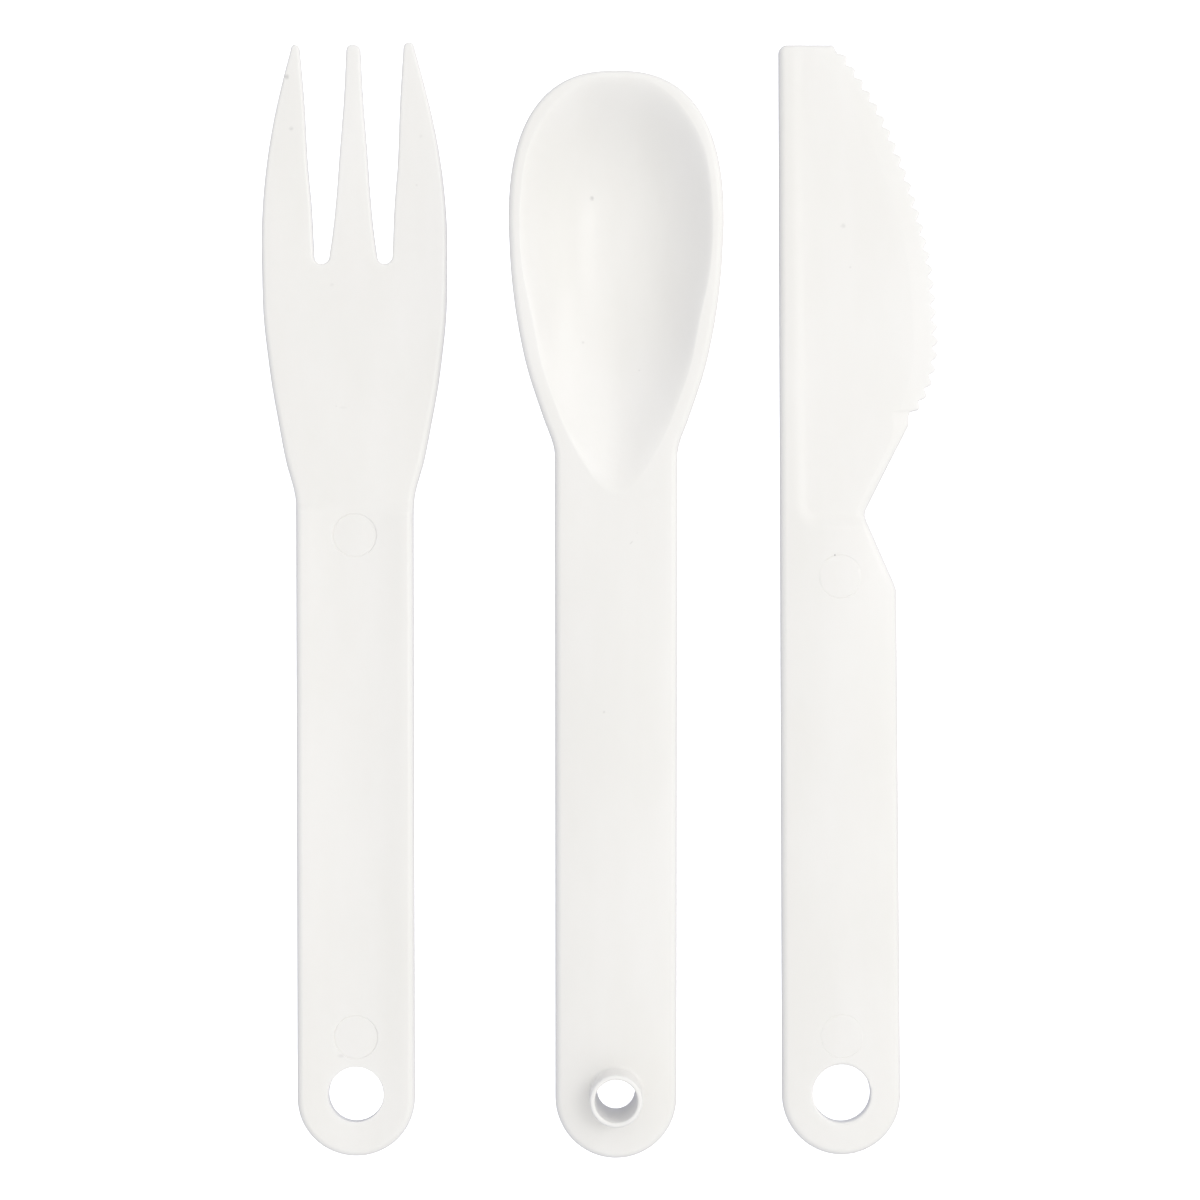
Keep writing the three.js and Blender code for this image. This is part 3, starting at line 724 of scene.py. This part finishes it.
quarter = np.radians(np.linspace(0, 90, 7))
bore_start = peg_height - peg_lip
bore_end = -spoon_thickness
peg_profile = [
    *[(peg_radius + peg_fillet * (1 - math.sin(a)), peg_fillet * (1 - math.cos(a))) for a in quarter],
    *[(peg_radius, z) for z in (1.2, 2, 2.8, 3.6)],
    *[(peg_radius - peg_lip * (1 - math.cos(a)), bore_start + peg_lip * math.sin(a)) for a in quarter],
    *[(bore_top + peg_lip * (1 - math.sin(a)), bore_start + peg_lip * math.cos(a)) for a in quarter],
    *[(bore_top + (bore_bottom - bore_top) * share, bore_start + (bore_end - bore_start) * share)
      for share in (0.25, 0.5, 0.75)],
    (bore_bottom, bore_end),
]
peg_rings = round_rings(peg_profile, peg_at)

rim = wrapped("rim", rim_rings)
bowl = wrapped("bowl", hollow_rings)
peg = wrapped("peg", peg_rings)
spoon_face = face_within(
    rim_rings[-1][:, :2], [hollow_rings[0][:, :2], peg_rings[0][:, :2]],
    steps(0, (92, 1), (156, 0.8)), np.linspace(-15, 15, 31), 0.3,
)
upper = joined("spoon_moulding", [rim, bowl, peg, spoon_face])
fill_face(upper)
place = places_of(upper)
x, y, _ = place.T
on_peg = np.hypot(x, y - peg_at) < peg_radius + peg_fillet + 0.01
near_face = np.where(on_peg, 1 - fade(np.abs(place[:, 2]), 0, 0.6), 1)
place[:, 2] += spoon_thickness + (spoon_top(x, y) - spoon_thickness) * near_face
put_vertices(upper, place)

# The underside: the flat handle with the mouth of the bore, and the belly of the bowl
belly_loop = closed_line(belly_outline, 0.4, 1)
belly_away = belly_loop - bowl_centre
belly_angle = np.arctan2(belly_away[:, 1], belly_away[:, 0])
belly_order = np.argsort(belly_angle)
belly_reach = np.hypot(*belly_away.T)


def belly_share(x, y):
    """How far (x, y) lies from the bowl's middle to the belly's edge, where 1 is on the edge."""
    angle = np.arctan2(y - bowl_centre[1], x)
    reach = np.interp(angle, belly_angle[belly_order], belly_reach[belly_order], period=2 * math.pi)
    return np.hypot(x, y - bowl_centre[1]) / reach


def spoon_bottom(x, y):
    """The flat underside of the handle, which flows into the belly of the bowl."""
    sag = (1 - np.clip(belly_share(x, y), 0, 1) ** sag_squareness) ** sag_fullness
    belly = spoon_thickness - rim_radius - (belly_depth - rim_radius) * sag
    mix = np.clip(0.5 - 0.5 * belly / belly_blend, 0, 1)
    return mix * belly - belly_blend * mix * (1 - mix)


def wall_foot(y):
    """How high the outer wall starts: above the handle's rounding, and higher up on the bowl."""
    return handle_rounding + (belly_edge_height - handle_rounding) * fade(y, *bowl_flow)


under_rings = rounded_edge(outline, handle_rounding)
inner = under_rings[-1][:, :2]
first, last = np.flatnonzero(outline_y > 99)[[0, -1]]
crossing = arc((0, inner[first][1]), (abs(inner[first][0]), 10), 180, 360, 41)[1:-1]
belly_ring = np.vstack([inner[first:last + 1], crossing])
handle_loop = np.vstack([inner[:first + 1], crossing[::-1], inner[last:]])
belly = wrapped("belly", [
    np.column_stack([rounder(belly_ring, share), 0 * belly_ring[:, 0]]) for share in np.linspace(1, 0, 46)
])
bore_mouth = round_rings([(bore_bottom, 0), (bore_bottom + 0.15, 0)], peg_at)
under_face = face_within(handle_loop, [bore_mouth[1][:, :2]], steps(0, (100, 1)), np.linspace(-8, 8, 17), 0.3)
under_edge = wrapped("under_edge", [ring * (1, 1, -1) for ring in under_rings])
under = joined("under", [under_edge, under_face, wrapped("bore_mouth", bore_mouth)])
under = joined("under", [under, belly])
weld(1e-3)
fill_face(under, lambda middle: math.hypot(middle.x, middle.y - peg_at) < bore_bottom + 0.07)
place = places_of(under)
x, y, _ = place.T
on_outline = distance_to(outline, place[:, :2]) < 1e-3
rounding = place[:, 2] * (1 - fade(y, *bowl_flow))
place[:, 2] = np.where(on_outline, wall_foot(y), spoon_bottom(x, y) * (y > 90) + rounding)
put_vertices(under, place)
wall = wrapped("wall", [
    np.column_stack([outline, spoon_top(outline_x, outline_y) - edge_radius]),
    np.column_stack([outline, wall_foot(outline_y)]),
])
spoon = joined("spoon_moulding", [upper, under, wall])
weld(2e-3, True)
lay(spoon, "spoon", 0.0, bowl_centre[1])
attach(spoon, "root")
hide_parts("spoon")
plastic_with("white_plastic_spoon", spoon, (0.3, 0.1, 0), spoon_specks)

# The knife: one moulding of the same plastic, with a flat handle and a thinner blade, sunk between a
# rib along its back and a ground edge with 27 round-crested teeth. The hole near the handle's end goes
# over the spoon's peg.
knife_length = 160.3
knife_half = 8.6
knife_taper = 0.35
knife_thickness = 2.3
knife_crown = 0.45
knife_hole_at = 8.9
knife_hole_radius = 4.15
knife_hole_fall = 0.07
knife_ejector_marks = (17.2, 83.5)
shoulder_at = 81.4
step_at = 90.8
step_corner = 3.5
blade_thickness = 1.95
grind_fall = 0.12
grind_rise = 0.85
grind_width = 3.5
rib_width_at_step = 2.3
rib_width_at_tip = 1.7
heel_at = 106.6
first_crest_at = 107.4
tip_rows_from = 158.9
tip_radius = 1.2
tooth_count = 27
tooth_depth = 0.8
crest_roundness = 0.2
crest_line = [
    (0.55, 159.35), (5.6, 151.4), (8.95, 144), (11.6, 135.9), (13.4, 127.9), (13.95, 121.7),
    (14.15, 115.7), (13.3, 111.2), (11.4, 107.4), (10.75, 106.6),
]
crest_shift = (0.12, 0.15)
notch = [
    (8.25, 81.4), (7.9, 82.5), (3.95, 91.5), (3.7, 92.4), (3.9, 93.2), (10.07, 105.3), (10.07, 106.6),
]
tip_corner = [(-0.5, 159.95), (-0.7, 160.3)]
knife_specks = [
    ((35.14, 54.25), 0.5, 0.13, round_speck),
    ((36.15, 48.25), 0.22, 0.14, round_speck),
    ((33.92, 6.75), 0.17, 0.8, round_speck),
]

crests = line_through(crest_line, 0.02) + crest_shift
gone = length_along(crests)
tooth_share = gone / gone[-1] * tooth_count
from_crest = tooth_share - np.floor(tooth_share) - 0.5
sharp = np.hypot(from_crest, crest_roundness) - crest_roundness
depth = tooth_depth * sharp / (math.hypot(0.5, crest_roundness) - crest_roundness)
along = np.gradient(crests, axis=0)
along /= np.hypot(*along.T)[:, None]
toothed = crests + np.column_stack([along[:, 1], -along[:, 0]]) * depth[:, None]
toothed = toothed[toothed[:, 1] > heel_at]
edge_line = np.vstack([notch, toothed[::-1], tip_corner])
edge_line = edge_line[np.argsort(edge_line[:, 1], kind="stable")]


def handle_half_at(y):
    """Half the knife's width at y, before the taper and the notch: round at the handle's end."""
    round_end = np.sqrt(np.maximum(knife_half**2 - (knife_half - y) ** 2, 0))
    return np.where(y < knife_half, round_end, knife_half)


def knife_right(y):
    """The knife's right side: the tapered handle, the notch, the heel and the teeth."""
    handle = handle_half_at(y) - knife_taper * y / shoulder_at
    return np.where(y < shoulder_at, handle, np.interp(y, edge_line[:, 1], edge_line[:, 0]))


def knife_left(y):
    """The knife's left side, its straight back, which is rounded off at the tip."""
    over = np.maximum(y - (knife_length - tip_radius), 0)
    return -handle_half_at(y) + tip_radius - np.sqrt(np.maximum(tip_radius**2 - over**2, 0))


def crest_at(y):
    """The line of the teeth's crests, and the plain right side below the first of them."""
    return np.where(y > first_crest_at, np.interp(y, crests[::-1, 1], crests[::-1, 0]), knife_right(y))


def rib_width(y):
    """How wide the rib along the back is."""
    return np.interp(y, [step_at, knife_length], [rib_width_at_step, rib_width_at_tip])


def grind_reach(y):
    """How far the ground band on the upper face reaches in from the crests."""
    return np.interp(y, [92.4, 103, 110, 140, knife_length], [1.5, 1.5, grind_width, grind_width, 4.2])


def knife_row(y):
    """Places across the knife, close together at its edges, at its rib and at its ground band."""
    left, right = knife_left(y), knife_right(y)
    left_radius = min(1, 0.3 * (right - left))
    right_radius = min(np.interp(y, [94, 106, heel_at], [1, 0.5, 0.25]), 0.3 * (right - left))
    rib_places = left + rib_width(y) + np.array([-0.5, -0.1, 0.3, 0.65, 1, 1.4, 1.8])
    grind_places = crest_at(y) - grind_reach(y) + np.array([-0.15, 0, 0.15])
    from_edge = right - right_radius - grind_places[-1]
    ground = grind_places[-1] + from_edge * np.array([0.2, 0.4, 0.6, 0.75, 0.87])
    middle = np.linspace(rib_places[-1], grind_places[0], 12)[1:-1]
    outer_left = left + left_radius * edge_shares
    outer_right = right - right_radius * edge_shares[::-1]
    on_blade = np.concatenate([rib_places, middle, grind_places, ground])
    even = (np.arange(len(on_blade)) + 1) / (len(on_blade) + 1)
    on_handle = outer_left[-1] + (outer_right[0] - outer_left[-1]) * even
    between = on_handle + (on_blade - on_handle) * fade(y, 86, 89.5)
    across = np.concatenate([outer_left, between, outer_right])
    return np.column_stack([across, 0 * across + y])


def knife_top(x, y):
    """The height of the upper face: the crowned handle and rib, and the blade sunk behind them."""
    handle = knife_thickness - knife_crown * np.minimum((x / knife_half) ** 2, 1)
    across = x - knife_left(y) - rib_width(y)
    beyond = y - step_at
    in_corner = (across < step_corner) & (beyond < step_corner)
    rounded = step_corner - np.hypot(step_corner - across, step_corner - beyond)
    into = np.where(in_corner, rounded, np.minimum(across, beyond))
    grind = grind_reach(y)
    ground = np.clip((x - (crest_at(y) - grind)) / grind, 0, 1)
    blade = blade_thickness - grind_fall * ground
    return handle + (blade - handle) * fade(into, -0.5, 1.8)


def knife_bottom(x, y):
    """The height of the underside, which is flat and rises under the ground edge."""
    ground = np.clip((x - (crest_at(y) - grind_width)) / grind_width, 0, 1)
    return grind_rise * ground * fade(y, 103, 112)


knife_rows = np.concatenate([
    knife_half * (1 - np.cos(np.radians(np.linspace(0, 90, 37)))),
    steps(knife_half, (80.8, 1), (90.4, 0.3), (94, 0.15), (105.3, 0.5), (heel_at, 0.1),
          (tip_rows_from, 0.17))[1:],
    tip_rows_from + (knife_length - tip_rows_from) * np.sin(np.radians(np.linspace(0, 90, 13)))[1:],
])
knife_grid = np.array([knife_row(y) for y in knife_rows])
knife_outline = without_repeats(np.vstack([knife_grid[:, -1], knife_grid[::-1, 0]]))
places = knife_grid.reshape(-1, 2)
x, y = places.T
near = np.minimum(distance_to(knife_outline, places), 1)
rounding = np.interp(y, [94, 106, heel_at, 158.7, 159.3], [1, 0.5, 0.25, 0.25, 0.7])
rounding = np.where(x < -5.5, 1 - 0.3 * fade(y, 158, 160), rounding)
height = np.minimum(rounding, rounded_share * (knife_top(x, y) - knife_bottom(x, y)))
falls = -height * (1 - np.sqrt(1 - (1 - np.minimum(near / rounding, 1)) ** 2))
knife = grid_of("knife_moulding", np.dstack([knife_grid, falls.reshape(knife_grid.shape[:2])]))
weld(1e-4)
thickened(knife, knife_top, knife_bottom)
cut(knife, hole_cutter(knife_hole_radius, knife_thickness - knife_hole_fall, knife_hole_at))
for mark_at in knife_ejector_marks:
    cut(knife, ejector_cutter(mark_at, knife_thickness))
lay(knife, "knife", 0.2)
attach(knife, "root")
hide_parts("knife")
plastic_with("white_plastic_knife", knife, (0.6, 0.4, 0), knife_specks)

# The floor: a sheet of white paper that glows a little, so that it shows as pure white, as in the
# photograph. It isn't seen by the plastic's own diffuse and glossy rays, so it lights none of it.
bpy.ops.mesh.primitive_plane_add(size=4)
floor = bpy.context.object
floor.name = "floor"
floor_paint = bpy.data.materials.new("floor")
floor_paint.use_nodes = True
paint = floor_paint.node_tree.nodes["Principled BSDF"]
paint.inputs["Base Color"].default_value = (0.9, 0.9, 0.9, 1)
paint.inputs["Roughness"].default_value = 1
paint.inputs["Emission Color"].default_value = (1, 1, 1, 1)
paint.inputs["Emission Strength"].default_value = 1.1
floor.data.materials.append(floor_paint)
floor.visible_diffuse = False
floor.visible_glossy = False

# The light: a pale studio that is brightest overhead and a little to the right and dimmer and cooler
# from below, and two soft boxes on the right.
brightest_from = (0.28, 0.05, 0.96)
dim_colour = (0.5, 0.52, 0.62)
bright_colour = (1, 1, 0.995)
studio_strength = 0.985

world = bpy.data.worlds.new("studio")
bpy.context.scene.world = world
world.use_nodes = True
sky = world.node_tree
direction = sky.nodes.new("ShaderNodeTexCoord").outputs["Generated"]
towards_light = vector_math(sky, "DOT_PRODUCT", direction, brightest_from).outputs["Value"]
glow = mixed(sky, mapped(sky, towards_light, -0.12, 0.55, 0, 1), dim_colour, bright_colour)
sky.links.new(glow, sky.nodes["Background"].inputs["Color"])
sky.nodes["Background"].inputs["Strength"].default_value = studio_strength


def soft_box(name, place, size, watts):
    """A soft square light that looks at the utensils."""
    light = bpy.data.lights.new(name, "AREA")
    light.shape = "RECTANGLE"
    light.size = size
    light.size_y = size
    light.energy = watts
    lamp = bpy.data.objects.new(name, light)
    bpy.context.scene.collection.objects.link(lamp)
    lamp.location = place
    lamp.rotation_euler = (-Vector(place)).to_track_quat("-Z", "Y").to_euler()


soft_box("over_right", (0.34, 0.13, 0.8), 0.24, 1.0)
soft_box("low_right", (0.9, 0.4, 0.45), 0.5, 1.1)

# The camera looks straight down on the utensils, as the photograph does, from 378 mm above the floor.
# Its frame is 174 mm wide there.
camera_height = 0.378
view_width = 0.174
sensor_width = 36

camera_data = bpy.data.cameras.new("camera")
camera_data.lens = sensor_width * camera_height / view_width
camera_data.sensor_width = sensor_width
camera = bpy.data.objects.new("camera", camera_data)
camera.location = (0.00006, 0.00027, camera_height)
bpy.context.scene.collection.objects.link(camera)
bpy.context.scene.camera = camera
bpy.context.scene.view_settings.view_transform = "Standard"
